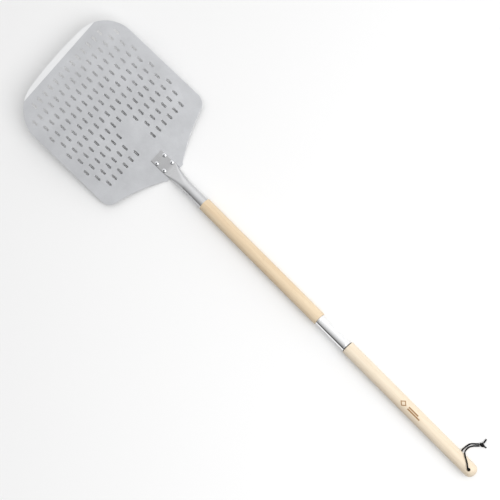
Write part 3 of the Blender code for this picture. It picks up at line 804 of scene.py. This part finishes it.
def add_lower():
    bore = INSERT_RADIUS + GAP
    depth = INSERT_LENGTH + 0.0008
    start = LOWER_LENGTH - LOWER_ROUNDING
    cap = [
        (WOOD_RADIUS * sin(pi / 2 * i / 20), start + LOWER_ROUNDING * cos(pi / 2 * i / 20))
        for i in range(20)
    ]
    body = [(WOOD_RADIUS, start), (WOOD_RADIUS, 0.0), (bore, 0.0), (bore, depth), (0.0, depth)]
    profile = cap + fillet_profile(body, 0.0013)
    mesh = lathe("lower_wood", profile, on_axis(LOWER_START), ALONG)
    grip = bpy.data.objects.new("lower_raw", mesh)
    bpy.context.scene.collection.objects.link(grip)
    flare = [(0.0, -0.030), (0.0062, -0.030), (0.0047, -0.0143), (0.0037, -0.0134),
             (0.0035, -0.0124), (0.0035, 0.0124), (0.0037, 0.0134), (0.0047, 0.0143),
             (0.0062, 0.030), (0.0, 0.030)]
    tool = bpy.data.objects.new(
        "hole_tool", lathe("hole_tool", flare, (0.0, HOLE_Y, AXIS_Z), (0, 0, 1), 64))
    bpy.context.scene.collection.objects.link(tool)
    cut = grip.modifiers.new("hole", "BOOLEAN")
    cut.operation = "DIFFERENCE"
    cut.solver = "EXACT"
    cut.object = tool
    bpy.context.view_layer.update()
    shaped = grip.evaluated_get(bpy.context.evaluated_depsgraph_get())
    result = bpy.data.meshes.new_from_object(shaped)
    result.name = "lower_wood"
    bpy.data.objects.remove(grip, do_unlink=True)
    bpy.data.objects.remove(tool, do_unlink=True)
    smooth(result, radians(35))
    add("lower_wood", result, LOWER, "lower_handle", ("lower_grip",))


def add_sleeve():
    length = SLEEVE_LENGTH
    groove = 0.00022
    outline = [(SLEEVE_INNER, 0.0), (SLEEVE_OUTER, 0.0)]
    for at in (0.0032, length - 0.0032):
        outline += [(SLEEVE_OUTER, at - 0.0003), (SLEEVE_OUTER - groove, at - 0.0001),
                    (SLEEVE_OUTER - groove, at + 0.0001), (SLEEVE_OUTER, at + 0.0003)]
    outline += [(SLEEVE_OUTER, length), (SLEEVE_INNER, length)]
    profile = fillet_profile(outline, 0.00035, 3)
    mesh = lathe("coupling_tube", profile, on_axis(SLEEVE_START), ALONG, 128, close=True)
    smooth(mesh, radians(38))
    add("coupling_tube", mesh, POLISHED, "head", ("coupling_sleeve",))


def thread_rings(start, end, radius, depth, count=40, per_pitch=8):
    """Rings of a helical thread round the handle's axis, from start to end."""
    total = int((end - start) / THREAD_PITCH * per_pitch)
    rings = []
    for k in range(total + 1):
        y = start + (end - start) * k / total
        ring = []
        for i in range(count):
            phase = (y / THREAD_PITCH - i / count) % 1.0
            fade = min(1.0, (y - start) / THREAD_PITCH, (end - y) / THREAD_PITCH)
            r = radius - depth * fade * (1 - abs(2 * phase - 1))
            a = 2 * pi * i / count
            ring.append((r * cos(a), tail(y), AXIS_Z - r * sin(a)))
        rings.append(ring)
    return rings


def plain_ring(y, radius, count=40):
    return [(radius * cos(2 * pi * i / count), tail(y), AXIS_Z - radius * sin(2 * pi * i / count))
            for i in range(count)]


def add_stud():
    face = SLEEVE_START + SLEEVE_LENGTH
    end = face + STUD_LENGTH
    rings = [plain_ring(face - 0.030, TENON_RADIUS), plain_ring(face, TENON_RADIUS),
             plain_ring(face + 0.00001, STUD_RADIUS)]
    rings += thread_rings(face + 0.0010, end - 0.0008, STUD_RADIUS, 0.0007)
    rings += [plain_ring(end, STUD_RADIUS - 0.0008)]
    mesh = grid_mesh("stud_thread", rings, cap_first=True, cap_last=True)
    smooth(mesh, radians(40))
    add("stud_thread", mesh, STEEL, "head", ("stud_plug",))


def add_insert():
    start = LOWER_START + 0.0005
    end = start + INSERT_LENGTH
    inner = STUD_RADIUS + GAP + 0.0004
    rings = [plain_ring(start, INSERT_RADIUS), plain_ring(end, INSERT_RADIUS),
             plain_ring(end, inner)]
    rings += thread_rings(start + 0.0004, end - 0.0004, inner, 0.0004)[::-1]
    rings += [plain_ring(start, inner + 0.0003)]
    mesh = grid_mesh("insert_bush", rings, close=True)
    smooth(mesh, radians(40))
    add("insert_bush", mesh, BRASS, "lower_handle", ("threaded_insert",))


def add_washer():
    profile = [(0.0053, 0.0), (0.0125, 0.0), (0.0125, 0.0012), (0.0053, 0.0012)]
    mesh = lathe("joint_ring", fillet_profile(profile, 0.0002, 2), on_axis(WASHER_START), ALONG,
                 96, close=True)
    smooth(mesh, radians(40))
    add("joint_ring", mesh, WASHER, "washer", ("joint_washer",))


def add_screws():
    for name in ("neck_screw", "sleeve_screw", "plug_screw"):
        low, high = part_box(name)
        y = (low[1] + high[1]) / 2
        seat = low[2] + 0.0016
        profile = [(0.0, -0.0016), (0.0013, -0.00158), (0.0022, -0.0013), (0.0028, -0.0008),
                   (0.0030, -0.0003), (0.0030, -0.0001), (0.0029, 0.0), (0.0013, 0.0),
                   (0.0013, 0.0060), (0.0, 0.0072)]
        mesh = lathe(name + "_head", profile, (0.0, y, seat), (0, 0, 1), 48)
        tool_mesh = bpy.data.meshes.new(name + "_cross")
        work = bmesh.new()
        for size in ((0.0034, 0.0007, 0.0014), (0.0007, 0.0034, 0.0014)):
            made = bmesh.ops.create_cube(work, size=1.0)["verts"]
            bmesh.ops.scale(work, vec=size, verts=made)
            bmesh.ops.translate(work, vec=(0.0, y, seat - 0.0016), verts=made)
        work.to_mesh(tool_mesh)
        work.free()
        raw = bpy.data.objects.new(name + "_raw", mesh)
        tool = bpy.data.objects.new(name + "_tool", tool_mesh)
        for obj in (raw, tool):
            bpy.context.scene.collection.objects.link(obj)
        cut = raw.modifiers.new("recess", "BOOLEAN")
        cut.solver = "EXACT"
        cut.use_self = True
        cut.object = tool
        bpy.context.view_layer.update()
        shaped = raw.evaluated_get(bpy.context.evaluated_depsgraph_get())
        result = bpy.data.meshes.new_from_object(shaped)
        result.name = name + "_head"
        bpy.data.objects.remove(raw, do_unlink=True)
        bpy.data.objects.remove(tool, do_unlink=True)
        smooth(result, radians(35))
        add(name + "_head", result, STEEL, "head", (name,))


add_upper()
add_lower()
add_sleeve()
add_stud()
add_insert()
add_washer()
add_screws()


# ---------------------------------------------------------------- floor and light
def add_floor():
    paint = Paint("floor_pale", (0.86, 0.86, 0.86), 0.9)
    mesh = bpy.data.meshes.new("floor")
    work = bmesh.new()
    bmesh.ops.create_grid(work, x_segments=1, y_segments=1, size=6.0)
    work.to_mesh(mesh)
    work.free()
    mesh.materials.append(paint.material)
    floor = bpy.data.objects.new("floor", mesh)
    bpy.context.scene.collection.objects.link(floor)


def add_light(name, at, aim, size, power, tint=(1.0, 1.0, 1.0)):
    data = bpy.data.lights.new(name, "AREA")
    data.shape = "RECTANGLE"
    data.size, data.size_y = size
    data.energy = power
    data.color = tint
    light = bpy.data.objects.new(name, data)
    bpy.context.scene.collection.objects.link(light)
    way = Vector(aim) - Vector(at)
    light.location = at
    light.rotation_euler = way.to_track_quat("-Z", "Y").to_euler()


KEY_AT = (-0.9, 1.7, 2.4)
KEY_SIZE = (2.2, 2.2)
KEY_WATTS = 62
DOME_LEVEL = 0.55
DOME_SLOPE = Vector((-0.50, -0.51, 0.24))
DOME_LEAST = 0.02
DARK_SIDE = ((0.86, 0.97), 0.20)


def add_world():
    """A soft dome that grows brighter toward -X, -Y and the top, and dim low on the +X side."""
    world = bpy.data.worlds.new("studio")
    bpy.context.scene.world = world
    world.use_nodes = True
    tree = world.node_tree
    background = tree.nodes["Background"]
    way = tree.nodes.new("ShaderNodeTexCoord").outputs["Generated"]
    dot = tree.nodes.new("ShaderNodeVectorMath")
    dot.operation = "DOT_PRODUCT"
    tree.links.new(way, dot.inputs[0])
    dot.inputs[1].default_value = DOME_SLOPE
    level = tree.nodes.new("ShaderNodeMath")
    level.operation = "ADD"
    tree.links.new(dot.outputs["Value"], level.inputs[0])
    level.inputs[1].default_value = DOME_LEVEL
    split = tree.nodes.new("ShaderNodeSeparateXYZ")
    tree.links.new(way, split.inputs[0])
    dark = tree.nodes.new("ShaderNodeMapRange")
    (start, full), depth = DARK_SIDE
    for key, value in zip(("From Min", "From Max", "To Min", "To Max"), (start, full, 0, depth)):
        dark.inputs[key].default_value = value
    tree.links.new(split.outputs["X"], dark.inputs["Value"])
    flag = tree.nodes.new("ShaderNodeMath")
    flag.operation = "SUBTRACT"
    tree.links.new(level.outputs[0], flag.inputs[0])
    tree.links.new(dark.outputs["Result"], flag.inputs[1])
    least = tree.nodes.new("ShaderNodeMath")
    least.operation = "MAXIMUM"
    tree.links.new(flag.outputs[0], least.inputs[0])
    least.inputs[1].default_value = DOME_LEAST
    tree.links.new(least.outputs[0], background.inputs["Strength"])
    background.inputs["Color"].default_value = (1.0, 1.0, 1.0, 1.0)


add_floor()
add_world()
add_light("key", KEY_AT, (0.0, 0.0, 0.0), KEY_SIZE, KEY_WATTS)
bpy.context.scene.view_settings.view_transform = "Standard"
